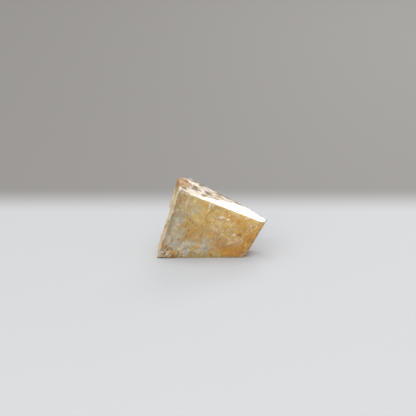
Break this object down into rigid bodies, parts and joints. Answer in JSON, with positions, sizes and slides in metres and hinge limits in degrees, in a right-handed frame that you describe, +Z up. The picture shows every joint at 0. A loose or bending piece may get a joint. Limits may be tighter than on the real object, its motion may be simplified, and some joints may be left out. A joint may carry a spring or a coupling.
{
  "type": "rutilated quartz freeform",
  "caption": "Leaning polished freeform of clear golden quartz full of fine rutile needles, with flat ground facets, one rough natural side and a flat base to rest on.",
  "frame": {"origin": "middle of the bounding box's underside, on the plane of the flat base", "axes": "+X along the longest extent, from the rough side towards the overhanging end, +Y from the large front facet to the back, +Z up from the base"},
  "size_m": [0.0338, 0.0202, 0.0219],
  "materials": {
    "quartz": "polished clear quartz, frosted on its rough side",
    "rutile": "golden needles with a soft metallic shine",
    "iron_stain": "orange-brown iron stain, dull"
  },
  "bodies": {
    "root": {"quartz_freeform": "quartz"}
  },
  "joints": []
}
